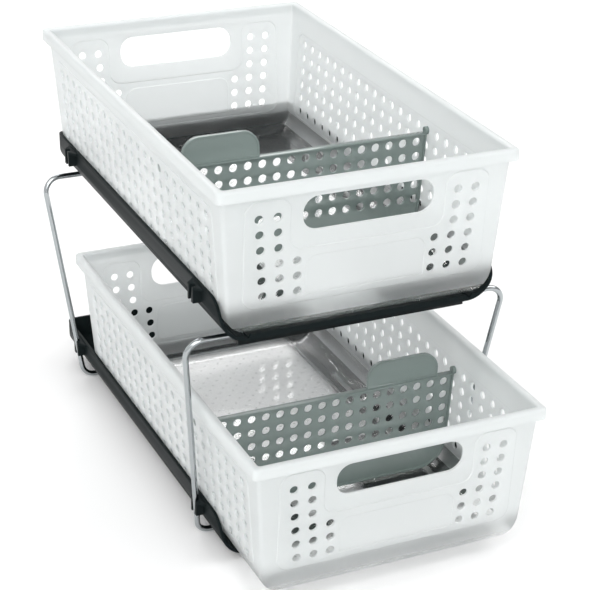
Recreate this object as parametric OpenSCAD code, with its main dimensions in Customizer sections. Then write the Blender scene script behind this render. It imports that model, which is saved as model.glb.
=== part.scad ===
// Two-tier cabinet organiser: two perforated baskets, each with a hinged
// divider, slide forward out of shallow tracks carried by leaning wire frames.
// X is left to right, Y is front to back, Z is up. The origin is the centre of
// the space taken up on the shelf with the lower basket drawn out as stored.

/* [Placement] */
// Height from one tier to the next
tier_pitch = 180; // [150:1:260]
// Distance the lower basket is drawn out at rest
pull_out = 65; // [20:1:160]

/* [Basket] */
// Width over the rim
rim_width = 236; // [200:1:320]
// Depth over the rim
rim_depth = 400; // [320:1:480]
// Height from the underside of the floor to the top of the rim
basket_height = 116.5; // [105:0.5:140]
// Height of the rim's skirt
rim_skirt = 9; // [5:0.5:14]
// Distance from the wall out to the rim's edge
rim_overhang = 5; // [4:0.5:9]
// Thickness of the rim
rim_sheet = 2; // [1.5:0.1:3]
// Corner radius of the rim seen from above
rim_corner = 4.5; // [3.5:0.5:20]
// Lean of the walls from upright, in degrees
wall_draft = 3.85; // [1:0.05:7]
// Thickness of the walls
wall_sheet = 2; // [1.5:0.1:3]
// Thickness of the floor
floor_sheet = 2.2; // [1.5:0.1:3.5]
// Radius where the floor meets the side walls
side_round = 19; // [12:0.5:26]
// Radius where the floor meets the front and rear walls
end_round = 8; // [5:0.5:12]
// Radius of the upright corners
wall_corner = 3.5; // [3.5:0.5:12]

/* [Basket holes] */
// Diameter of the ventilation holes
hole_d = 6.6; // [4:0.1:7.5]
// Height between rows of holes
row_pitch = 12.1; // [10:0.1:14]
// Least height of a hole above the floor's round
row_floor = 4; // [3:0.5:8]
// Distance from the rim's top down to the side walls' top row
side_row_drop = 29; // [20:0.5:36]
// Least distance from the side walls' ends to a column of holes
side_margin = 22; // [15:0.5:30]
// Distance between hole columns in the side walls
side_pitch = 15.6; // [12:0.1:16]
// Distance from the rim's top down to the end walls' top row
end_row_drop = 25.9; // [20:0.5:36]
// Distance from the end walls' sides to the outermost column
end_margin = 21; // [17:0.1:24]
// Distance between hole columns in the end walls
end_pitch = 14.2; // [10:0.1:14.4]
// Drawing in of the end columns for each mm of height
end_fan = 0.0009; // [0:0.0001:0.002]
// Number of rows in the short column beside the label panel
short_rows = 3; // [1:1:3]

/* [Handle slot] */
// Width of the handle slot
slot_width = 102; // [80:1:106]
// Height of the handle slot
slot_height = 26; // [22:0.5:28]
// Distance from the rim's top down to the slot's upper edge
slot_drop = 14.2; // [11:0.5:18]
// Corner radius of the slot
slot_corner = 11.5; // [6:0.5:12]

/* [Runners] */
// Distance of each runner from the foot of the side wall
runner_inset = 15.8; // [12:0.1:20]
// Width of a runner where it leaves the floor
runner_width = 5; // [4:0.1:6]
// Width of a runner's tip
runner_tip = 1.4; // [1:0.1:2.5]
// Depth of a runner below the floor
runner_depth = 3.2; // [3:0.1:3.8]
// Distance of the runners' front end from the foot of the front wall
runner_front_inset = 17.8; // [10:0.1:40]
// Distance of the runners' rear end from the foot of the rear wall
runner_rear_inset = 77.8; // [60:0.1:120]
// Gap between a runner and its groove
runner_gap = 0.4; // [0.2:0.05:0.8]

/* [Track] */
// Thickness of the track's walls
track_sheet = 2.2; // [1.6:0.1:3]
// Height of the track's walls above the basket's underside
track_top = 26.2; // [24:0.1:34]
// Gap between the basket and the top of the track's walls
basket_gap = 0.8; // [0.5:0.05:1.5]
// Thickness of the track's floor
track_floor = 2.4; // [2:0.1:3.5]
// Gap between the basket's underside and the track's floor
floor_gap = 2.9; // [2.5:0.1:2.95]
// Gap between the basket's underside and the front lip
lip_gap = 0.3; // [0.2:0.05:0.6]
// Thickness of the front lip
lip_sheet = 2.4; // [1.6:0.1:4]
// Distance of the track's front face behind the foot of the basket's front wall
track_setback = 1.8; // [0:0.1:8]
// Inside radius where the track's floor meets its side walls
track_side_round = 20; // [12:0.5:22]
// Inside radius where the track's floor meets its rear wall
track_rear_round = 14; // [6:0.5:15]
// Radius of the side walls' front upper corners
track_front_round = 21.5; // [8:0.5:24]
// Width of the track's rails inside the runners
rail_width = 8; // [6:0.5:20]
// Depth of the floor's band along the rear wall
rear_band = 50; // [30:1:70]
// Depth of the wide flanges at the front of the floor
flange_depth = 126; // [80:1:160]
// Half width of the gap between the front flanges
flange_gap_x = 32.5; // [20:0.5:45]
// Depth of the strip that closes this gap at the front
front_strip = 25; // [15:1:40]
// Corner radius of the opening
opening_corner = 6; // [3:0.5:12]

/* [Wire frames] */
// Diameter of the wire
wire_d = 4.5; // [3:0.1:5]
// Distance from the middle of the baskets back to the middle of the two frames
frame_shift = 2.5; // [0:0.5:6]
// Distance of the front frame's top bar behind the track's front face
top_bar_inset = 18; // [10:0.5:30]
// Distance that a frame leans outward from its bottom bar to its top bar
frame_reach = 29.5; // [20:0.5:35]
// Distance of the legs' centres outside the track, at the bottom bar
leg_stand = 1.1; // [0.8:0.1:3]
// Distance that a leg splays sideways on its way up
leg_splay = 19.4; // [16:0.1:26]
// Bend radius at the bottom corners
bottom_bend = 10; // [7:0.5:14]
// Bend radius at the top corners
top_bend = 13; // [8:0.5:20]

/* [Side clips] */
// Distance a clip stands out from the track's wall
clip_proud = 6; // [5:0.1:8]
// Distance from the wire to where the clip's roof meets the wall
clip_length = 9; // [6:0.5:20]
// Height of the clip's lower end above the basket's underside
clip_bottom = 12.5; // [1:0.1:16]
// Height of the clip's upper end above the basket's underside
clip_top = 25; // [18:0.1:26]
// Thickness of the fin that stands beside the wire
fin_sheet = 3.2; // [2.5:0.1:5]
// Thickness of the roof that runs from the fin to the wall
roof_sheet = 1.8; // [1.2:0.1:4]
// Gap between the wire and what grips it
wire_gap = 0.1; // [0.05:0.01:0.2]

/* [Bar clips] */
// Length of the clip that holds a top bar
bar_clip_length = 184; // [120:1:200]
// Width of the bar clip, front to back
bar_clip_width = 12; // [9:0.5:16]
// Height of the bar clip
bar_clip_height = 8.7; // [7.5:0.1:12]

/* [Divider] */
// Hole column, counted forward from the middle, that holds the pegs
peg_column = 5; // [1:1:7]
// Thickness of the panel
panel_sheet = 1.8; // [1.2:0.1:3]
// Distance from the rim's top down to the panel's top edge
panel_drop = 30.5; // [28:0.5:32]
// Gap between the divider and the basket's walls
panel_gap = 0.7; // [0.5:0.05:1.5]
// Gap between the divider and the basket's floor
panel_floor_gap = 1.2; // [0.8:0.1:4]
// Radius of the panel's bottom corners
panel_round = 22; // [20:0.5:30]
// Width of the edge flange, front to back
flange_width = 5.6; // [4:0.1:8]
// Thickness of the edge flange
flange_sheet = 1.5; // [1:0.1:2.5]
// Diameter of the divider's holes
panel_hole_d = 7; // [4:0.1:8]
// Distance between the divider's holes
panel_pitch = 11.87; // [10:0.01:11.9]
// Least width of plain panel beside the divider's holes
panel_land = 1; // [0.5:0.1:3]
// Distance from the panel's top edge down to the top row of holes
panel_row_drop = 6.7; // [6:0.1:10]
// Gap between a peg and its hole
peg_gap = 0.08; // [0.03:0.01:0.1]

/* [Divider tab] */
// Distance of the tab from the middle of the divider
tab_x = 63.5; // [40:0.5:70]
// Width of the tab at its foot
tab_foot = 62; // [40:1:64]
// Width of the tab's flat top
tab_flat = 34; // [20:1:40]
// Distance from the rim's top down to the tab's top
tab_drop = 8.7; // [6:0.1:18]
// Thickness of the tab
tab_sheet = 2; // [1.4:0.1:3]
// Thickness of the tab over its edge bead
tab_bead = 3.4; // [2.4:0.1:5]
// Width of the tab's edge bead
tab_bead_width = 1.6; // [1:0.1:3]

/* [Hidden] */

skin = 0.01;
rim_steps = 32;
$fn = 48;
// Where each tier stands.
home_y = pull_out / 2;
wire_r = wire_d / 2;
track_base = floor_gap + track_floor;
tier_z = [wire_d + track_base, wire_d + track_base + tier_pitch];
// Basket walls.
wall_top = basket_height - rim_skirt;
slope = tan(wall_draft);
wall_x0 = rim_width / 2 - rim_overhang - slope * wall_top;
wall_y0 = rim_depth / 2 - rim_overhang - slope * wall_top;
// Holes and handle slot, as heights above the basket's underside.
side_row_z = basket_height - side_row_drop;
end_row_z = basket_height - end_row_drop;
slot_top = basket_height - slot_drop;
side_rows = rows_down(side_row_z, row_pitch);
end_rows = rows_down(end_row_z, row_pitch);
side_columns = 2 * floor((wall_y0 - side_margin) / side_pitch + 0.5);
end_column_x = wall_x0 - end_margin;
// Runners and what they ride in.
runner_x = wall_x0 - runner_inset;
runner_front = wall_y0 - runner_front_inset;
runner_rear = wall_y0 - runner_rear_inset;
// Track walls, which follow the basket's outside.
track_x = wall_x0 + slope * track_top + basket_gap;
track_y = wall_y0 + slope * track_top + basket_gap;
track_front = wall_y0 - track_setback;
opening_x = runner_x - rail_width;
opening_rear = track_y - rear_band;
flange_rear = track_front - flange_depth;
// Wire frame, laid out flat before it leans outward.
top_bar_y = top_bar_inset - track_front;
bottom_bar_y = top_bar_y + frame_reach;
bottom_leg_x = track_x + track_sheet + leg_stand;
frame_lean = atan(frame_reach / tier_pitch);
frame_length = tier_pitch / cos(frame_lean);
leg_angle = atan(leg_splay / frame_length);
// How far a straight runs into a bend, and how much the wire swells there.
bend_bite = 0.3;
bend_swell = 0.02;
// Divider.
peg_y = -(peg_column - 0.5) * side_pitch;
panel_top = basket_height - panel_drop;
tab_top = basket_height - tab_drop;
panel_row_z = panel_top - panel_row_drop;
panel_rows = rows_down(panel_row_z, panel_pitch);
panel_columns = 2 * floor((panel_x(panel_top) - panel_hole_d / 2 - flange_sheet - panel_land)
                          / panel_pitch + 0.5);
panel_bottom = floor_sheet + panel_floor_gap;
peg_r = hole_d / 2 - peg_gap;

// Half the outside width across the side walls at height z.
function wall_x(z) = wall_x0 + slope * z;
// Half the outside depth across the end walls at height z.
function wall_y(z) = wall_y0 + slope * z;
// Number of rows from height z down to the floor's round.
function rows_down(z, pitch) = 1 + floor((z - side_round - row_floor) / pitch);
// Distance an edge is drawn in at height z by a round of radius r.
function drawn_in(z, r) = z >= r ? 0 : r - sqrt(r * r - (r - z) * (r - z));

// A flat rectangle with round corners, centred.
module round_rect(w, d, r) {
    square([w - 2 * r, d], center = true);
    square([w, d - 2 * r], center = true);
    for (x = [-1, 1], y = [-1, 1])
        translate([x * (w / 2 - r), y * (d / 2 - r)]) circle(r = r);
}

// One level of the basket's body, for hull(): half sizes hx and hy.
module level(hx, hy, r, z) {
    for (x = [-1, 1], y = [-1, 1])
        translate([x * (hx - r), y * (hy - r), z])
            cylinder(r = r, h = skin, $fn = rim_steps);
}

// The space within the walls, drawn in by sheet and raised by lift.
module basket_body(sheet, lift, top) {
    sr = side_round - sheet;
    er = max(end_round - sheet, 1);
    cr = wall_corner - sheet;
    hull() {
        for (a = [0 : 15 : 90]) {
            z = sr * (1 - cos(a));
            level(wall_x(z + lift) - sheet - drawn_in(z, sr),
                  wall_y(z + lift) - sheet - drawn_in(z, er), cr, z + lift);
        }
        level(wall_x(top) - sheet, wall_y(top) - sheet, cr, top - skin);
    }
}

// Rows of ventilation holes through both side walls.
module side_holes() {
    for (c = [0 : side_columns - 1], r = [0 : side_rows - 1])
        translate([0, (c - (side_columns - 1) / 2) * side_pitch,
                   side_row_z - r * row_pitch])
            rotate([0, 90, 0]) cylinder(d = hole_d, h = rim_width, center = true);
}

// Columns of ventilation holes through both end walls, drawn in downward.
module end_holes() {
    for (c = [0 : 2], r = [(c == 2 ? end_rows - short_rows : 0) : end_rows - 1])
        for (side = [-1, 1])
            translate([side * (end_column_x - c * end_pitch) * (1 - end_fan * r * row_pitch),
                       0, end_row_z - r * row_pitch])
                rotate([90, 0, 0]) cylinder(d = hole_d, h = rim_depth, center = true);
}

// Handle slots through both end walls.
module handle_slots() {
    translate([0, rim_depth / 2, slot_top - slot_height / 2])
        rotate([90, 0, 0]) linear_extrude(rim_depth)
            round_rect(slot_width, slot_height, slot_corner);
}

// Turned-down rim around the basket's mouth.
module rim() {
    difference() {
        translate([0, 0, wall_top])
            linear_extrude(rim_skirt) round_rect(rim_width, rim_depth, rim_corner);
        translate([0, 0, wall_top - 1])
            linear_extrude(rim_skirt + 1 - rim_sheet)
                round_rect(rim_width - 2 * rim_sheet, rim_depth - 2 * rim_sheet,
                           rim_corner - rim_sheet);
    }
}

// A runner's section, grown by gap, with its top at height top.
module runner_section(gap, top) {
    flank = (runner_width - runner_tip) / 2 / runner_depth;
    half_tip = runner_tip / 2 + gap;
    half_top = half_tip + flank * (top + runner_depth + gap);
    polygon([[-half_top, top], [-half_tip, -runner_depth - gap],
             [half_tip, -runner_depth - gap], [half_top, top]]);
}

// Runner or groove from y = front to y = rear.
module runner(gap, top, front, rear) {
    for (side = [-1, 1])
        translate([side * runner_x, rear, 0]) rotate([90, 0, 0])
            linear_extrude(rear - front) runner_section(gap, top);
}

module basket() {
    color("white") difference() {
        union() {
            basket_body(0, 0, basket_height);
            rim();
            runner(0, floor_sheet / 2, -runner_front, runner_rear);
        }
        basket_body(wall_sheet, floor_sheet, basket_height + 1);
        side_holes();
        end_holes();
        handle_slots();
    }
}

// Track section seen from the front: half width hx, floor at z0, round r.
module tray_front(hx, z0, r, top) {
    difference() {
        translate([-hx, z0]) square([2 * hx, top - z0]);
        for (side = [-1, 1])
            translate([side * hx, z0]) corner_cut(-side, 1, r);
    }
}

// What a round of radius r takes from a square corner that opens towards sx, sy.
module corner_cut(sx, sy, r) {
    difference() {
        polygon([[-sx, -sy], [r * sx, -sy], [r * sx, r * sy], [-sx, r * sy]]);
        translate([sx * r, sy * r]) circle(r = r);
    }
}

// Space of the tray: grow is 0 inside, the sheet outside. It reaches forward
// to y = front and up to z = top.
module tray_space(grow, floor_z, front, top) {
    hx = track_x + grow;
    rear = track_y + grow;
    intersection() {
        translate([0, rear + 1, 0]) rotate([90, 0, 0])
            linear_extrude(rear + 1 - front) tray_front(hx, floor_z, track_side_round + grow, top);
        rotate([90, 0, 90]) linear_extrude(2 * hx + 2, center = true) difference() {
            translate([front, floor_z]) square([rear - front, top - floor_z]);
            translate([rear, floor_z]) corner_cut(-1, 1, track_rear_round + grow);
        }
        translate([0, 0, floor_z - 1]) linear_extrude(top - floor_z + 2) difference() {
            translate([-hx - 1, front]) square([2 * hx + 2, rear - front]);
            for (side = [-1, 1])
                translate([side * hx, rear]) corner_cut(-side, -1, wall_corner + basket_gap + grow);
        }
    }
}

// Rounds the front upper corners of the side walls.
module front_corner_cut() {
    rotate([90, 0, 90]) linear_extrude(2 * track_x + 4 * clip_proud, center = true)
        translate([-track_front, track_top]) corner_cut(1, -1, track_front_round);
}

// Open middle of the track's floor, seen from above.
module floor_opening() {
    translate([0, (opening_rear - flange_rear) / 2])
        round_rect(2 * opening_x, opening_rear + flange_rear, opening_corner);
    translate([0, -(track_front - front_strip + flange_rear) / 2 + opening_corner / 2])
        round_rect(2 * flange_gap_x, track_front - front_strip - flange_rear + opening_corner,
                   opening_corner);
}

// Places a flat frame layout so that it leans forward as the front frame does.
module lean_forward() {
    translate([0, bottom_bar_y, -track_base - wire_r])
        rotate([90 + frame_lean, 0, 0]) children();
}

// On each side wall, a fin before and one behind each wire leg, each under a
// roof that tapers into the wall.
module side_clips() {
    for (rear = [0, 1]) translate([0, rear * 2 * frame_shift, 0]) mirror([0, rear, 0])
        difference() {
            translate([0, leg_y(clip_bottom / 2 + clip_top / 2), 0]) {
                translate([0, 0, clip_bottom]) linear_extrude(clip_top - clip_bottom)
                    square([2 * (track_x + track_sheet + clip_proud), 2 * (wire_r + fin_sheet)],
                           center = true);
                translate([0, 0, clip_top - roof_sheet]) linear_extrude(roof_sheet) roof_plan();
            }
            lean_forward() for (side = [0, 1]) mirror([side, 0, 0]) leg_space();
        }
}

// Y of the front frame's legs at height z.
function leg_y(z) = bottom_bar_y - tan(frame_lean) * (z + track_base + wire_r);

// The roofs of both side walls seen from above.
module roof_plan() {
    out = track_x + track_sheet;
    for (way = [0, 1]) mirror([0, way])
        polygon([[-out, wire_r + clip_length], [out, wire_r + clip_length],
                 [out + clip_proud, wire_r + fin_sheet], [-out - clip_proud, wire_r + fin_sheet]]);
    square([2 * (out + clip_proud), 2 * (wire_r + fin_sheet)], center = true);
}

// Room for a leg, open outward, in the frame's flat layout.
module leg_space() {
    r = wire_r + wire_gap;
    translate([bottom_leg_x, 0, 0]) rotate([0, 0, -leg_angle]) {
        rotate([-90, 0, 0]) cylinder(r = r, h = tier_pitch / 2);
        translate([0, 0, -r]) cube([3 * clip_proud, tier_pitch / 2, 2 * r]);
    }
}

module track() {
    color("#41484a") difference() {
        union() {
            tray_space(track_sheet, -track_base, -track_front, track_top);
            side_clips();
        }
        tray_space(0, -floor_gap, lip_sheet - track_front, track_top + 1);
        intersection() {
            tray_space(0, -floor_gap, -track_front - 1, track_top + 1);
            translate([-rim_width, -rim_depth, -lip_gap])
                cube([2 * rim_width, 2 * rim_depth, 2 * track_top]);
        }
        front_corner_cut();
        translate([0, 0, -track_base - 1]) linear_extrude(track_floor + 2) floor_opening();
        runner(runner_gap, 1, -track_front - 1, runner_rear + 2);
    }
}

// A straight wire between two points of the flat layout, running a little way
// into the bend at each end.
module straight(from, to) {
    run = to - from;
    translate([from[0], from[1], 0]) rotate([0, 0, atan2(run[1], run[0])])
        translate([-bend_bite, 0, 0]) rotate([0, 90, 0])
            cylinder(r = wire_r, h = norm(run) + 2 * bend_bite);
}

// A bend about a centre, from one angle to another.
module bend(centre, radius, from, to) {
    translate([centre[0], centre[1], 0]) rotate([0, 0, from])
        rotate_extrude(angle = to - from)
            translate([radius, 0]) circle(r = wire_r + bend_swell);
}

// A leg with the bends at its ends, in the flat layout: x right, y up the frame.
module leg(low, high) {
    out = [cos(leg_angle), -sin(leg_angle)];
    bend(low, bottom_bend, -90, -leg_angle);
    straight(low + bottom_bend * out, high + top_bend * out);
    bend(high, top_bend, -leg_angle, 90);
}

// Closed loop of wire: a bottom bar, a longer top bar and two splayed legs.
module wire_frame() {
    c = cos(leg_angle);
    s = sin(leg_angle);
    low = [bottom_leg_x - bottom_bend * (1 - s) / c, bottom_bend];
    high = [bottom_leg_x + ((frame_length - top_bend) * s - top_bend) / c,
            frame_length - top_bend];
    color("silver") lean_forward() {
        straight([-low[0], 0], [low[0], 0]);
        straight([-high[0], frame_length], [high[0], frame_length]);
        for (side = [0, 1]) mirror([side, 0, 0]) leg(low, high);
    }
}

// Channel under a track that holds the top bar of a frame from below.
module bar_clip() {
    bar_z = -track_base - wire_r;
    r = wire_r + wire_gap;
    color("#2b3032") difference() {
        translate([-bar_clip_length / 2, top_bar_y - bar_clip_width / 2,
                   -track_base - bar_clip_height])
            cube([bar_clip_length, bar_clip_width, bar_clip_height]);
        translate([0, top_bar_y, bar_z]) rotate([0, 90, 0])
            cylinder(r = r, h = bar_clip_length + 2, center = true);
        translate([-bar_clip_length / 2 - 1, top_bar_y - r, bar_z])
            cube([bar_clip_length + 2, 2 * r, wire_d]);
    }
}

// The divider's outline drawn in by inset, standing up: x across, y up.
module panel_outline(inset) {
    r = panel_round - inset;
    low = panel_bottom + inset;
    low_z = low + r;
    hull() {
        for (side = [-1, 1]) {
            translate([side * (panel_x(low_z) - inset - r), low_z])
                circle(r = r, $fn = 2 * rim_steps);
            translate([side * (panel_x(panel_top) - inset - 0.5), panel_top - inset - 0.5])
                square(1, center = true);
        }
    }
}

// Half the divider's width at height z.
function panel_x(z) = wall_x(z) - wall_sheet - panel_gap;

// Whether a panel hole at x, z stays clear of the round bottom corners.
function clear_of_corner(x, z) =
    let (low_z = panel_bottom + panel_round, low_x = panel_x(low_z) - panel_round)
    z > low_z || abs(x) < low_x ||
    norm([abs(x) - low_x, z - low_z]) + panel_hole_d / 2 + flange_sheet < panel_round;

// Grid of round holes through the panel.
module panel_holes() {
    for (c = [0 : panel_columns - 1], r = [0 : panel_rows - 1]) {
        x = (c - (panel_columns - 1) / 2) * panel_pitch;
        z = panel_row_z - r * panel_pitch;
        if (clear_of_corner(x, z))
            translate([x, 0, z]) rotate([90, 0, 0])
                cylinder(d = panel_hole_d, h = 2 * panel_sheet, center = true);
    }
}

// The tab's outline drawn in by inset.
module tab_outline(inset) {
    r = (tab_foot - tab_flat) / 2;
    top = tab_top - inset;
    hull() {
        for (side = [-1, 1])
            translate([side * tab_flat / 2, top - r + inset])
                circle(r = r - inset, $fn = 2 * rim_steps);
        translate([0, panel_top - flange_sheet / 2])
            square([tab_foot - 2 * inset, flange_sheet], center = true);
    }
}

// Plate of a given thickness, centred on y = 0 and standing up.
module upright(thickness) {
    rotate([90, 0, 0]) linear_extrude(thickness, center = true) children();
}

// Upright plate of the divider's tab with a bead round its edge.
module tab() {
    translate([-tab_x, 0, 0]) {
        upright(tab_sheet) tab_outline(0);
        upright(tab_bead) difference() {
            tab_outline(0);
            tab_outline(tab_bead_width);
            translate([0, panel_top - tab_foot]) square(2 * tab_foot, center = true);
        }
    }
}

// Pegs that turn in one hole of each side wall.
module pegs() {
    root = panel_x(side_row_z) - flange_sheet;
    for (side = [0, 1]) mirror([side, 0, 0])
        translate([root, 0, side_row_z]) rotate([0, 90, 0])
            cylinder(r = peg_r, h = wall_x(side_row_z) - root);
}

module divider() {
    color("#8b9799") {
        difference() {
            upright(panel_sheet) panel_outline(0);
            panel_holes();
        }
        upright(flange_width) difference() {
            panel_outline(0);
            panel_outline(flange_sheet);
        }
        tab();
        pegs();
    }
}

// Puts a child at a tier, drawn out by a distance.
module at_tier(tier, drawn) {
    translate([0, home_y - drawn, tier_z[tier]]) children();
}

module lower_track() at_tier(0, 0) track();
module upper_track() at_tier(1, 0) track();
module front_wire_frame() at_tier(0, 0) wire_frame();
module rear_wire_frame() at_tier(0, 0)
    translate([0, 2 * frame_shift, 0]) mirror([0, 1, 0]) wire_frame();
module front_bar_clip() at_tier(1, 0) bar_clip();
module rear_bar_clip() at_tier(1, 0)
    translate([0, 2 * frame_shift, 0]) mirror([0, 1, 0]) bar_clip();
module lower_basket() at_tier(0, pull_out) basket();
module upper_basket() at_tier(1, 0) basket();
module lower_divider() at_tier(0, pull_out)
    translate([0, peg_y, 0]) rotate([0, 0, 180]) divider();
module upper_divider() at_tier(1, 0) translate([0, peg_y, 0]) divider();

lower_track();
upper_track();
front_wire_frame();
rear_wire_frame();
front_bar_clip();
rear_bar_clip();
lower_basket();
upper_basket();
lower_divider();
upper_divider();
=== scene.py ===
"""Looks for the two-tier cabinet organiser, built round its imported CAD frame.

Pieces are shaped in millimetres about their own tier and turned to metres when they are finished.
X is left to right, Y is front to back, Z is up from the shelf.
"""

import math

import bmesh
import bpy
from mathutils import Matrix, Vector


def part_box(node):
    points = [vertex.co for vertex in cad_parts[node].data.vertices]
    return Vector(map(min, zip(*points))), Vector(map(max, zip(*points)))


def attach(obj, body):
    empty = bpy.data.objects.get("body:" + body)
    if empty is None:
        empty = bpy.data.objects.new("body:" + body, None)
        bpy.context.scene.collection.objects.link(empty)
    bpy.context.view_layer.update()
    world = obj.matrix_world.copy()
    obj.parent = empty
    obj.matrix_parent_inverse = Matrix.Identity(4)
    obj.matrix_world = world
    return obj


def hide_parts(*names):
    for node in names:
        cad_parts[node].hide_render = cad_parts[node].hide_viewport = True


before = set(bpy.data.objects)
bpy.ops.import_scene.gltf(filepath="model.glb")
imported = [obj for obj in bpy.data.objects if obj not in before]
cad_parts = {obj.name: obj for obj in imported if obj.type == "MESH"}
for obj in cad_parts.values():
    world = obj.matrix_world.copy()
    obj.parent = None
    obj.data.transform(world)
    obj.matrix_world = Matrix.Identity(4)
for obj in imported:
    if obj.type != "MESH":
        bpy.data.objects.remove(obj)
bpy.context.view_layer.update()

MM = 0.001
QUARTER = math.pi / 2
TIER_PITCH = 180.0

# Basket. Heights are from the underside of its floor.
SHEET = 2.0
FLOOR = 2.2
HEIGHT = 116.5
SKIRT_FOOT = 107.5
RIM_X, RIM_Y, RIM_WIDTH = 118.0, 200.0, 5.0
RIM_CORNER, RIM_ROUND = 4.5, 2.4
SLOPE = math.tan(math.radians(3.85))
FOOT_X = RIM_X - RIM_WIDTH - SLOPE * SKIRT_FOOT
FOOT_Y = RIM_Y - RIM_WIDTH - SLOPE * SKIRT_FOOT
SIDE_ROUND, END_ROUND = 17.0, 6.0
WALL_LOW, WALL_HIGH = FLOOR + SIDE_ROUND, 108.0
INNER_CORNER, CORNER_STEPS = 1.5, 8
CORNER_HALF_STEP = math.pi / 4 / CORNER_STEPS
ROUND_STEPS, RIM_STEPS = 9, 4
SHELL_EDGE = 0.35

# Holes in the basket's walls. An end wall's columns close in a little on their way down, and the
# third from the corner starts under the handle slot.
HOLE_R = 3.3
HOLE_ROWS, ROW_PITCH = 6, 12.1
SIDE_COLUMNS, SIDE_PITCH, SIDE_TOP_ROW = 22, 15.6, 87.5
END_FIRST_ROWS, END_PITCH, END_TOP_ROW = (0, 0, 3), 14.2, 90.6
END_OUTER_COLUMN, END_CLOSING = 84.77, 0.0009

# Steps round the walls' raised fields and the end walls' sunken label panels.
STEP_WIDTH, FIELD_RISE, LABEL_SINK = 0.7, 0.6, 0.5

# Small round marks on the basket's floor, in rows that are offset by half a pitch.
MARK_PITCH_X, MARK_PITCH_Y, MARK_REACH = 12.6, 7.5, 86.0
MARK_ROWS, MARK_COLUMNS = 23, 7
MARK_FOOT_R, MARK_TOP_R, MARK_DEPTH, MARK_Z = 1.2, 0.6, 0.3, FLOOR + 0.1

# Runners under the basket's floor.
RUNNER_X, RUNNER_Y, RUNNER_Z = 89.97, -30.0, -1.45
RUNNER_WIDTH, RUNNER_LENGTH, RUNNER_HEIGHT = 5.0, 280.0, 3.5
RUNNER_DEPTH, RUNNER_TAPER, RUNNER_EDGE = 3.2, 1.8, 0.4

# Divider. Its panel stands a little clear of the basket's walls.
PEG_Y, PEG_Z, PEG_R, PEG_ROOT = -70.2, 87.5, 3.2, 1.0
PANEL_LOW, PANEL_TOP, PANEL_CORNER, PANEL_GAP = 3.4, 86.0, 22.0, 0.7
PANEL_HOLE_R, PANEL_PITCH, PANEL_TOP_ROW = 3.5, 11.87, 79.3
PANEL_COLUMNS, PANEL_ROWS = 18, 5
PANEL_BEAD, PANEL_SHEET, PANEL_FLANGE = 1.5, 1.8, 5.6
TAB_OUTER, TAB_INNER, TAB_LOW, TAB_TOP, TAB_CORNER = -94.5, -32.5, 85.7, 107.8, 14.0
TAB_BEAD, TAB_SHEET, TAB_FLANGE = 1.6, 2.0, 3.4
BEAD_SLOPE, DIVIDER_EDGE = 0.3, 0.3

# Wire loops, laid out flat before they lean outward.
WIRE_R = 2.25
LEAN = math.radians(9.3074)
LEG_ANGLE = math.radians(6.0711)
LOOP_LENGTH = TIER_PITCH / math.cos(LEAN)
LOW_BEND, TOP_BEND = 10.0, 13.0
LEG_FOOT_X = 111.63
FRONT_LOOP_Y, REAR_LOOP_Y = -105.966, 175.966
WIRE_SIDES, BEND_STEPS = 24, 12

# Rounding of the CAD mouldings' edges.
TRACK_EDGE, CLIP_EDGE = 0.45, 0.4


# ---------------------------------------------------------------- materials

POLYPROPYLENE_IOR, STYRENE_IOR = 1.49, 1.5
PATCH_MM = 60
SKIN_DEPTH_MM = 0.05

# The share of light that the frosted walls let through, clear up to one height and cloudy from
# another. Both heights start again at each tier.
CLEAR, CLOUDY = 0.96, 0.4
CLEAR_TO, CLOUDY_FROM = 24.0, 40.0


def colour(code):
    """Turns an sRGB hex colour to linear."""
    parts = [int(code[i:i + 2], 16) / 255 for i in (1, 3, 5)]
    return [p / 12.92 if p <= 0.04045 else ((p + 0.055) / 1.055) ** 2.4 for p in parts] + [1.0]


def add(owner, kind, sockets=None, **settings):
    """Adds a node. A socket's value is a number, a colour or another node's output."""
    tree = owner.node_tree
    node = tree.nodes.new(kind)
    for name, value in settings.items():
        setattr(node, name, value)
    for name, value in (sockets or {}).items():
        if isinstance(value, bpy.types.NodeSocket):
            tree.links.new(value, node.inputs[name])
        else:
            node.inputs[name].default_value = value
    return node


def map_range(owner, value, low, high, at_low, at_high):
    """An output that goes from at_low to at_high as the value goes from low to high."""
    return add(owner, "ShaderNodeMapRange",
               {"Value": value, "From Min": low, "From Max": high, "To Min": at_low,
                "To Max": at_high}).outputs["Result"]


def blank(name):
    """A material with nothing but its output, and that output."""
    material = bpy.data.materials.new(name)
    material.use_nodes = True
    material.node_tree.nodes.clear()
    return material, add(material, "ShaderNodeOutputMaterial")


def moulded(name, tint, dark, grain_mm, height, sockets):
    """Moulded plastic: its colour drifts a little and its skin has a fine grain."""
    material, output = blank(name)
    place = add(material, "ShaderNodeTexCoord").outputs["Object"]
    patch = add(material, "ShaderNodeTexNoise",
                {"Vector": place, "Scale": 1 / (PATCH_MM * MM), "Detail": 2.0})
    shade = add(material, "ShaderNodeMix", {"Factor": patch.outputs["Fac"], "A": colour(dark),
                                            "B": colour(tint)}, data_type="RGBA")
    grain = add(material, "ShaderNodeTexNoise",
                {"Vector": place, "Scale": 1 / (grain_mm * MM), "Detail": 3.0})
    bump = add(material, "ShaderNodeBump", {"Height": grain.outputs["Fac"], "Strength": height,
                                            "Distance": SKIN_DEPTH_MM * MM})
    shader = add(material, "ShaderNodeBsdfPrincipled",
                 {"Base Color": shade.outputs[2], "Normal": bump.outputs["Normal"], **sockets})
    material.node_tree.links.new(shader.outputs[0], output.inputs["Surface"])
    return material


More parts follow.
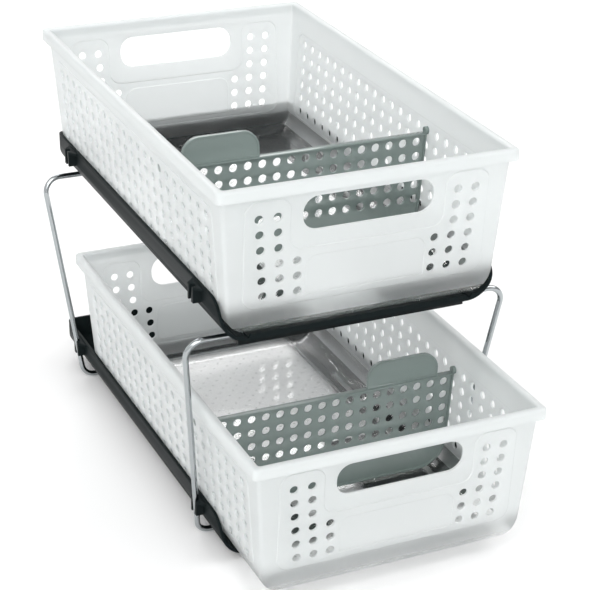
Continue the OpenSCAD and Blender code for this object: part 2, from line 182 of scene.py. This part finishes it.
def frosted_moulding():
    """Natural polypropylene: its frosted skin fades out towards the polished foot of the walls."""
    material = moulded("frosted_polypropylene", "#f4f7f7", "#eef2f2", 1.2, 0.12,
                       {"Roughness": 0.45, "IOR": POLYPROPYLENE_IOR, "Coat Weight": 0.15,
                        "Coat Roughness": 0.1, "Alpha": 0.8})
    place = add(material, "ShaderNodeTexCoord").outputs["Object"]
    height = add(material, "ShaderNodeSeparateXYZ", {0: place}).outputs["Z"]
    rise = add(material, "ShaderNodeMath", {0: height, 1: TIER_PITCH * MM}, operation="MODULO")
    fade = map_range(material, rise.outputs[0], CLEAR_TO * MM, CLOUDY_FROM * MM, CLEAR, CLOUDY)
    shader = next(n for n in material.node_tree.nodes if n.type == "BSDF_PRINCIPLED")
    material.node_tree.links.new(fade, shader.inputs["Transmission Weight"])
    return material


frosted = frosted_moulding()
# The basket's foot is polished in the mould, so it is nearly clear and mirrors the walls.
polished = moulded("polished_polypropylene", "#feffff", "#fbfdfd", 9.0, 0.06,
                   {"Roughness": 0.05, "IOR": POLYPROPYLENE_IOR, "Transmission Weight": 0.97,
                    "Alpha": 0.3, "Coat Weight": 0.6, "Coat Roughness": 0.03})
# Smoke-tinted styrene, glossy and hardly clear.
smoked = moulded("smoked_styrene", "#85938f", "#7e8c88", 8.0, 0.05,
                 {"Roughness": 0.12, "IOR": STYRENE_IOR, "Transmission Weight": 0.18,
                  "Coat Weight": 0.5, "Coat Roughness": 0.04})
# Charcoal polypropylene with a satin, finely grained skin, for the tracks.
charcoal = moulded("charcoal_polypropylene", "#171e1f", "#13191a", 0.9, 0.35,
                   {"Roughness": 0.42, "IOR": POLYPROPYLENE_IOR, "Specular IOR Level": 0.05})
# The same with more pigment, for the bar clips.
black = moulded("black_polypropylene", "#121617", "#0f1314", 0.9, 0.3,
                {"Roughness": 0.36, "IOR": POLYPROPYLENE_IOR, "Specular IOR Level": 0.12})
# Bright chrome on drawn steel wire, with a faint unevenness from the plating.
chrome = moulded("chrome_plated_steel", "#b4b8ba", "#a8adaf", 3.0, 0.08,
                 {"Roughness": 0.06, "Metallic": 1.0})


# ---------------------------------------------------------------- shaping tools

def edges_of(verts):
    """The edges at these points, each once and in the same order every run."""
    return list(dict.fromkeys(e for v in verts for e in v.link_edges))


def turned(bm, angle, axis="Z"):
    bmesh.ops.rotate(bm, matrix=Matrix.Rotation(angle, 3, axis), verts=bm.verts)


def mirrored(bm, axis):
    """Adds the other half, and turns all faces outward."""
    bmesh.ops.mirror(bm, geom=bm.verts[:] + bm.edges[:] + bm.faces[:], merge_dist=0.01, axis=axis)
    bmesh.ops.recalc_face_normals(bm, faces=bm.faces)


def outline(bm, corners):
    """A flat upright face, normal to -Y. Each corner is x, z and its radius."""
    others = set(bm.faces)
    verts = [bm.verts.new((x, 0, z)) for x, z, _ in corners]
    bm.faces.new(verts)
    for radius in {r for _, _, r in corners if r}:
        bmesh.ops.bevel(bm, geom=[v for v, c in zip(verts, corners) if c[2] == radius],
                        offset=radius, offset_type="OFFSET", segments=7, profile=0.5,
                        affect="VERTICES", material=-1)
    return next(f for f in bm.faces if f not in others)


def opened(bm, face):
    """Takes a face away and leaves its edges, which it returns."""
    edges = list(face.edges)
    bmesh.ops.delete(bm, geom=[face], context="FACES_ONLY")
    return edges


def stepped(bm, face, margin, step):
    """Steps a flat face in by a margin and out by a step. Returns the edges it had before."""
    band = bmesh.ops.inset_individual(bm, faces=[face], thickness=margin, depth=step,
                                      use_even_offset=True)["faces"]
    return [e for f in band for e in f.edges if e.is_boundary]


def round_hole(bm, x, z, y, radius):
    """Edges of a round hole in an upright sheet."""
    turn = Matrix.Translation((x, y, z)) @ Matrix.Rotation(QUARTER, 4, "X")
    return edges_of(bmesh.ops.create_circle(bm, segments=16, radius=radius, matrix=turn)["verts"])


def fill(bm, edges):
    """Fills a flat upright region: its border and the loops inside it."""
    bmesh.ops.triangle_fill(bm, edges=edges, use_beauty=True, normal=(0, -1, 0))


def stretch(bm, edges, move):
    """Carries an open end of a tube along, and returns its new end."""
    made = bmesh.ops.extrude_edge_only(bm, edges=edges)["geom"]
    bmesh.ops.translate(bm, vec=move, verts=[v for v in made if isinstance(v, bmesh.types.BMVert)])
    return [e for e in made if isinstance(e, bmesh.types.BMEdge)]


def joined(parts):
    """One bmesh of several."""
    whole = bmesh.new()
    for part in parts:
        mesh = bpy.data.meshes.new("part")
        part.to_mesh(mesh)
        part.free()
        whole.from_mesh(mesh)
        bpy.data.meshes.remove(mesh)
    return whole


def placed(bm, name, materials):
    """Puts a bmesh into the scene as an object."""
    mesh = bpy.data.meshes.new(name)
    bm.to_mesh(mesh)
    bm.free()
    for material in materials:
        mesh.materials.append(material)
    piece = bpy.data.objects.new(name, mesh)
    bpy.context.scene.collection.objects.link(piece)
    return piece


def finished(bm, name, body, materials, place=(0, 0, 0), nodes=(), sheet=0.0, edge=0.0,
             edge_angle=55):
    """Makes a piece, in metres, of a bmesh in millimetres."""
    bmesh.ops.translate(bm, vec=place, verts=bm.verts)
    bmesh.ops.scale(bm, vec=(MM, MM, MM), verts=bm.verts)
    piece = placed(bm, name, materials)
    if sheet:
        wall = piece.modifiers.new("wall", "SOLIDIFY")
        wall.thickness, wall.offset = sheet * MM, -1
        wall.use_even_offset = wall.use_quality_normals = True
        wall.material_offset = wall.material_offset_rim = -1
    if edge:
        soft = piece.modifiers.new("edges", "BEVEL")
        soft.width, soft.segments, soft.limit_method = edge * MM, 2, "ANGLE"
        soft.angle_limit = math.radians(edge_angle)
    if sheet or edge:
        seen = piece.evaluated_get(bpy.context.evaluated_depsgraph_get())
        piece.data = bpy.data.meshes.new_from_object(seen)
        piece.modifiers.clear()
    piece.data.shade_smooth()
    piece.data.set_sharp_from_angle(angle=math.radians(32))
    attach(piece, body)
    if nodes:
        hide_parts(*nodes)


# ---------------------------------------------------------------- baskets

def inner_x(z):
    """Half the width inside the basket at this height."""
    return FOOT_X + SLOPE * z - SHEET


def inner_y(z):
    """Half the depth inside the basket at this height."""
    return FOOT_Y + SLOPE * z - SHEET


def drawn_in(rise, radius):
    """How far a round of this radius draws the wall in at this height over the floor."""
    return 0 if rise >= radius else radius - math.sqrt(radius ** 2 - (radius - rise) ** 2)


def ring(bm, half_x, half_y, radius, z):
    """Edges of a level round rectangle."""
    turn = Matrix.Rotation(CORNER_HALF_STEP, 4, "Z")
    made = bmesh.ops.create_circle(bm, segments=4 * CORNER_STEPS, radius=radius,
                                   matrix=Matrix.Translation((0, 0, z)) @ turn)["verts"]
    for v in made:
        v.co.x += math.copysign(half_x - radius, v.co.x)
        v.co.y += math.copysign(half_y - radius, v.co.y)
    return edges_of(made)


def shell():
    """The side of the basket that one sees from above: floor, walls and rim, walls left open."""
    bm = bmesh.new()
    rings = []
    for step in range(ROUND_STEPS + 1):
        rise = SIDE_ROUND * (1 - math.cos(math.radians(90 / ROUND_STEPS * step)))
        z = FLOOR + rise
        rings.append(ring(bm, inner_x(z) - drawn_in(rise, SIDE_ROUND),
                          inner_y(z) - drawn_in(rise, END_ROUND), INNER_CORNER, z))
    rings.append(ring(bm, inner_x(WALL_HIGH), inner_y(WALL_HIGH), INNER_CORNER, WALL_HIGH))
    crown = HEIGHT - RIM_ROUND
    rim_angles = [math.radians(90 / RIM_STEPS * step) for step in range(RIM_STEPS + 1)]
    for angle in rim_angles:
        off = RIM_ROUND * (1 - math.cos(angle))
        rings.append(ring(bm, inner_x(crown) + off, inner_y(crown) + off, INNER_CORNER + off,
                          crown + RIM_ROUND * math.sin(angle)))
    for angle in rim_angles:
        off = RIM_ROUND * (1 - math.sin(angle))
        rings.append(ring(bm, RIM_X - off, RIM_Y - off, RIM_CORNER - off,
                          crown + RIM_ROUND * math.cos(angle)))
    rings.append(ring(bm, RIM_X, RIM_Y, RIM_CORNER, SKIRT_FOOT))
    for i, (low, high) in enumerate(zip(rings, rings[1:])):
        band = bmesh.ops.bridge_loops(bm, edges=low + high)["faces"]
        if i == ROUND_STEPS:
            # The largest four faces here are the flat walls.
            band.sort(key=lambda f: f.calc_area())
            bmesh.ops.delete(bm, geom=band[-4:], context="FACES_ONLY")
    bmesh.ops.contextual_create(bm, geom=rings[0])
    return bm


def wall(foot, across, raised, holes, turn, slot=None, label=None):
    """One flat wall: a border, a raised field with its holes, and what else is in it."""
    bm = bmesh.new()
    bite = INNER_CORNER * (1 - math.cos(CORNER_HALF_STEP))
    low, high = (across(z) - INNER_CORNER * (1 - math.sin(CORNER_HALF_STEP))
                 for z in (WALL_LOW, WALL_HIGH))
    border = opened(bm, outline(bm, [(-low, WALL_LOW, 0), (low, WALL_LOW, 0),
                                     (high, WALL_HIGH, 0), (-high, WALL_HIGH, 0)]))
    field = outline(bm, raised)
    border += stepped(bm, field, STEP_WIDTH, FIELD_RISE)
    inside = opened(bm, field)
    for x, z in holes:
        inside += round_hole(bm, x, z, -FIELD_RISE, HOLE_R)
    if slot:
        border += opened(bm, outline(bm, slot))
    if label:
        panel = outline(bm, label)
        bmesh.ops.translate(bm, vec=(0, -FIELD_RISE, 0), verts=panel.verts)
        inside += stepped(bm, panel, STEP_WIDTH, -LABEL_SINK)
    fill(bm, border)
    fill(bm, inside)
    for v in bm.verts:
        v.co.y -= foot + SLOPE * v.co.z - SHEET - bite
    turned(bm, turn)
    return bm


def end_wall(turn):
    """A front or rear wall, with its handle slot and label panel."""
    field = [(-95, 21, 10), (95, 21, 10), (95, 103.5, 9), (61, 103.5, 9), (61, 63, 10),
             (-61, 63, 10), (-61, 103.5, 9), (-95, 103.5, 9)]
    holes = [(side * (END_OUTER_COLUMN - END_PITCH * column) * (1 - END_CLOSING * row * ROW_PITCH),
              END_TOP_ROW - ROW_PITCH * row)
             for side in (-1, 1) for column, first in enumerate(END_FIRST_ROWS)
             for row in range(first, HOLE_ROWS)]
    slot = [(-51, 76.3, 11.5), (51, 76.3, 11.5), (51, 102.3, 11.5), (-51, 102.3, 11.5)]
    label = [(-48, 25, 2), (48, 25, 2), (48, 57.5, 9), (-48, 57.5, 9)]
    return wall(FOOT_Y, inner_x, field, holes, turn, slot, label)


def side_wall(turn):
    """A left or right wall."""
    field = [(-175, 20.5, 8), (175, 20.5, 8), (175, 96, 8), (-175, 96, 8)]
    holes = [((column - (SIDE_COLUMNS - 1) / 2) * SIDE_PITCH, SIDE_TOP_ROW - ROW_PITCH * row)
             for column in range(SIDE_COLUMNS) for row in range(HOLE_ROWS)]
    return wall(FOOT_X, inner_y, field, holes, turn)


def basket_shell(tier, place):
    """Floor, walls and rim in one sheet."""
    bm = joined([shell(), end_wall(0), side_wall(QUARTER), end_wall(2 * QUARTER),
                 side_wall(3 * QUARTER)])
    bmesh.ops.remove_doubles(bm, verts=bm.verts, dist=0.02)
    bmesh.ops.recalc_face_normals(bm, faces=bm.faces)
    bottom = max(bm.faces, key=lambda f: f.calc_area())
    if bottom.normal.z < 0:
        bmesh.ops.reverse_faces(bm, faces=bm.faces)
    # 1 is polished inside only, 2 is polished on both sides.
    for face in bm.faces:
        height = face.calc_center_median().z
        face.material_index = 2 if height < FLOOR + 7 else 1 if height < WALL_LOW else 0
    finished(bm, tier + "_basket_shell", tier + "_basket",
             [frosted, polished, polished], place, [tier + "_basket"], sheet=SHEET,
             edge=SHELL_EDGE)


def floor_marks(tier, place):
    """Low round marks all over the basket's floor."""
    bm = bmesh.new()
    for row in range(-MARK_ROWS, MARK_ROWS + 1):
        for column in range(-MARK_COLUMNS, MARK_COLUMNS + 1):
            x = (column + (row % 2) / 2) * MARK_PITCH_X
            if abs(x) < MARK_REACH:
                spot = Matrix.Translation((x, row * MARK_PITCH_Y, MARK_Z))
                bmesh.ops.create_cone(bm, cap_ends=True, segments=8, radius1=MARK_FOOT_R,
                                      radius2=MARK_TOP_R, depth=MARK_DEPTH, matrix=spot)
    finished(bm, tier + "_basket_floor_bumps", tier + "_basket", [polished],
             place)


def runners(tier, place):
    """Two rails under the basket's floor, narrower at their foot."""
    bm = bmesh.new()
    size = Matrix.Diagonal((RUNNER_WIDTH, RUNNER_LENGTH, RUNNER_HEIGHT, 1))
    for side in (-1, 1):
        middle = side * RUNNER_X
        spot = Matrix.Translation((middle, RUNNER_Y, RUNNER_Z))
        made = bmesh.ops.create_cube(bm, size=1, matrix=spot @ size)["verts"]
        for v in made:
            if v.co.z < RUNNER_Z:
                v.co.x += math.copysign(RUNNER_TAPER, middle - v.co.x)
    finished(bm, tier + "_basket_runners", tier + "_basket", [frosted],
             place, edge=RUNNER_EDGE, edge_angle=40)


def basket(tier):
    """One basket. Returns the middle of its floor's underside."""
    low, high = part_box(tier + "_basket")
    place = Vector((0, (low[1] + high[1]) / 2, low[2])) / MM + Vector((0, 0, RUNNER_DEPTH))
    basket_shell(tier, place)
    floor_marks(tier, place)
    runners(tier, place)
    return place


# ---------------------------------------------------------------- dividers

def panel_x(z):
    """Half the width of the divider's panel at this height."""
    return inner_x(z) - PANEL_GAP


def beaded_plate(corners, bead, sheet, deep, holes=()):
    """An upright plate about y = 0, thin inside and deeper along its edge."""
    bm = bmesh.new()
    face = outline(bm, corners)
    rim = stepped(bm, face, bead - BEAD_SLOPE, 0)
    stepped(bm, face, BEAD_SLOPE, -(deep - sheet) / 2)
    bmesh.ops.translate(bm, vec=(0, -deep / 2, 0), verts=bm.verts)
    if holes:
        loops = [round_hole(bm, x, z, -sheet / 2, PANEL_HOLE_R) for x, z in holes]
        fill(bm, opened(bm, face) + [e for loop in loops for e in loop])
        for loop in loops:
            stretch(bm, loop, (0, sheet / 2, 0))
    stretch(bm, rim, (0, deep / 2, 0))
    mirrored(bm, "Y")
    return bm


def pegs():
    """Two round pegs, from inside the panel's edge into the holes of the basket's walls."""
    bm = bmesh.new()
    root, tip = panel_x(PEG_Z) - PEG_ROOT, inner_x(PEG_Z) + SHEET
    for way in (-1, 1):
        spot = Matrix.Translation((way * (tip + root) / 2, 0, PEG_Z))
        bmesh.ops.create_cone(bm, cap_ends=True, segments=24, radius1=PEG_R, radius2=PEG_R,
                              depth=tip - root, matrix=spot @ Matrix.Rotation(QUARTER, 4, "Y"))
    return bm


def divider(tier, place, turn):
    """One divider: panel, tab and pegs. Turned half round, its tab is at the right."""
    side, foot = panel_x(PANEL_TOP), panel_x(PANEL_LOW)
    holes = [((column - (PANEL_COLUMNS - 1) / 2) * PANEL_PITCH, PANEL_TOP_ROW - PANEL_PITCH * row)
             for column in range(PANEL_COLUMNS) for row in range(PANEL_ROWS)]
    panel = [(-foot, PANEL_LOW, PANEL_CORNER), (foot, PANEL_LOW, PANEL_CORNER),
             (side, PANEL_TOP, 0), (-side, PANEL_TOP, 0)]
    tab = [(TAB_OUTER, TAB_LOW, 0), (TAB_INNER, TAB_LOW, 0), (TAB_INNER, TAB_TOP, TAB_CORNER),
           (TAB_OUTER, TAB_TOP, TAB_CORNER)]
    bm = joined([beaded_plate(panel, PANEL_BEAD, PANEL_SHEET, PANEL_FLANGE, holes),
                 beaded_plate(tab, TAB_BEAD, TAB_SHEET, TAB_FLANGE), pegs()])
    turned(bm, turn)
    finished(bm, tier + "_divider_panel", tier + "_divider", [smoked],
             place + Vector((0, PEG_Y, 0)), [tier + "_divider"], edge=DIVIDER_EDGE)


# ---------------------------------------------------------------- wire loops

def bent(bm, edges, centre, angle):
    """Carries an open end of the wire round a bend, and returns its new end."""
    verts = list(dict.fromkeys(v for e in edges for v in e.verts))
    last = bmesh.ops.spin(bm, geom=verts + edges, cent=centre, axis=(0, 0, 1), angle=angle,
                          steps=BEND_STEPS, use_merge=False)["geom_last"]
    return [e for e in last if isinstance(e, bmesh.types.BMEdge)]


def wire_loop(name, node, foot_y, turn):
    """Half a loop, bent out of a round, then mirrored."""
    bm = bmesh.new()
    c, s = math.cos(LEG_ANGLE), math.sin(LEG_ANGLE)
    low = Vector((LEG_FOOT_X - LOW_BEND * (1 - s) / c, LOW_BEND, 0))
    high = Vector((LEG_FOOT_X + ((LOOP_LENGTH - TOP_BEND) * s - TOP_BEND) / c,
                   LOOP_LENGTH - TOP_BEND, 0))
    out = Vector((c, -s, 0))
    end = edges_of(bmesh.ops.create_circle(bm, segments=WIRE_SIDES, radius=WIRE_R,
                                           matrix=Matrix.Rotation(QUARTER, 4, "Y"))["verts"])
    end = stretch(bm, end, (low.x, 0, 0))
    end = bent(bm, end, low, QUARTER - LEG_ANGLE)
    end = stretch(bm, end, (high + TOP_BEND * out) - (low + LOW_BEND * out))
    end = bent(bm, end, high, QUARTER + LEG_ANGLE)
    stretch(bm, end, (-high.x, 0, 0))
    mirrored(bm, "X")
    turned(bm, QUARTER + LEAN, "X")
    turned(bm, turn)
    finished(bm, name, "frame", [chrome], (0, foot_y, WIRE_R), [node])


# ---------------------------------------------------------------- tracks and bar clips

def softened(node, material, edge):
    """A CAD moulding with its edges rounded as a mould leaves them."""
    bm = bmesh.new()
    bm.from_mesh(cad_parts[node].data)
    bmesh.ops.scale(bm, vec=(1 / MM,) * 3, verts=bm.verts)
    bmesh.ops.remove_doubles(bm, verts=bm.verts, dist=0.002)
    bmesh.ops.dissolve_limit(bm, angle_limit=math.radians(0.5), verts=bm.verts, edges=bm.edges)
    finished(bm, node + "_moulding", "frame", [material], nodes=[node], edge=edge,
             edge_angle=38)


for tier, divider_turn in (("lower", math.pi), ("upper", 0)):
    basket_place = basket(tier)
    divider(tier, basket_place, divider_turn)
    softened(tier + "_track", charcoal, TRACK_EDGE)
wire_loop("front_wire_loop", "front_wire_frame", FRONT_LOOP_Y, 0)
wire_loop("rear_wire_loop", "rear_wire_frame", REAR_LOOP_Y, math.pi)
for loop_end in ("front", "rear"):
    softened(loop_end + "_bar_clip", black, CLIP_EDGE)


# ---------------------------------------------------------------- room, lights, camera
# From here on all measures are in metres.

FLOOR_HALF, FLOOR_DROP = 6.0, 0.0002
LIGHT_AIM = (0, 0, 0.15)


def paper_floor():
    """A pale floor, a hair below the wires that stand on it."""
    paper, output = blank("white_paper")
    shader = add(paper, "ShaderNodeBsdfPrincipled", {"Base Color": colour("#fdfdfd"),
                                                     "Roughness": 0.8})
    paper.node_tree.links.new(shader.outputs[0], output.inputs["Surface"])
    bm = bmesh.new()
    bmesh.ops.create_grid(bm, x_segments=1, y_segments=1, size=FLOOR_HALF)
    floor = placed(bm, "floor", [paper])
    floor.location.z = -FLOOR_DROP


def area_light(name, place, size, power):
    """A square lamp that points at the object. Its size is in metres, its power in watts."""
    light = bpy.data.lights.new(name, "AREA")
    light.size, light.energy = size, power
    lamp = bpy.data.objects.new(name, light)
    lamp.location = place
    lamp.rotation_euler = (Vector(LIGHT_AIM) - Vector(place)).to_track_quat("-Z", "Y").to_euler()
    bpy.context.scene.collection.objects.link(lamp)


def studio_room():
    """A pale room with a darker right side and ceiling, which gloss and chrome show."""
    world = bpy.data.worlds.new("studio")
    world.use_nodes = True
    world.node_tree.nodes.clear()
    way = add(world, "ShaderNodeTexCoord").outputs["Generated"]
    axes = add(world, "ShaderNodeSeparateXYZ", {0: way}).outputs
    to_right = map_range(world, axes["X"], -0.2, 0.5, 0.95, 0.5)
    to_ceiling = map_range(world, axes["Z"], 0.45, 0.8, 1.0, 0.6)
    glow = add(world, "ShaderNodeMath", {0: to_right, 1: to_ceiling}, operation="MULTIPLY")
    light = add(world, "ShaderNodeBackground", {"Color": colour("#ffffff"),
                                                "Strength": glow.outputs[0]})
    add(world, "ShaderNodeOutputWorld", {"Surface": light.outputs[0]})
    bpy.context.scene.world = world


def photo_camera():
    """The camera as solved from the photograph: place, turn, lens and the picture's crop."""
    yaw, pitch, roll = 0.4565, 0.4936, 0.0299
    camera = bpy.data.objects.new("camera", bpy.data.cameras.new("camera"))
    camera.data.sensor_width = 36
    camera.data.lens = 110.43
    camera.data.shift_x, camera.data.shift_y = -0.0881, 0.1681
    camera.matrix_world = (Matrix.Translation((-0.5336, -1.2206, 0.7647))
                           @ Matrix.Rotation(-yaw, 4, "Z")
                           @ Matrix.Rotation(QUARTER - pitch, 4, "X")
                           @ Matrix.Rotation(roll, 4, "Z"))
    bpy.context.scene.collection.objects.link(camera)
    bpy.context.scene.camera = camera


paper_floor()
area_light("key", (-1.8, -1.2, 2.6), 2.0, 30)
area_light("front", (-0.7, -2.9, 1.5), 1.8, 34)
area_light("fill", (2.0, -0.4, 2.0), 1.6, 26)
area_light("back", (0.4, 2.4, 2.2), 2.0, 30)
studio_room()
photo_camera()
bpy.context.scene.view_settings.view_transform = "Standard"
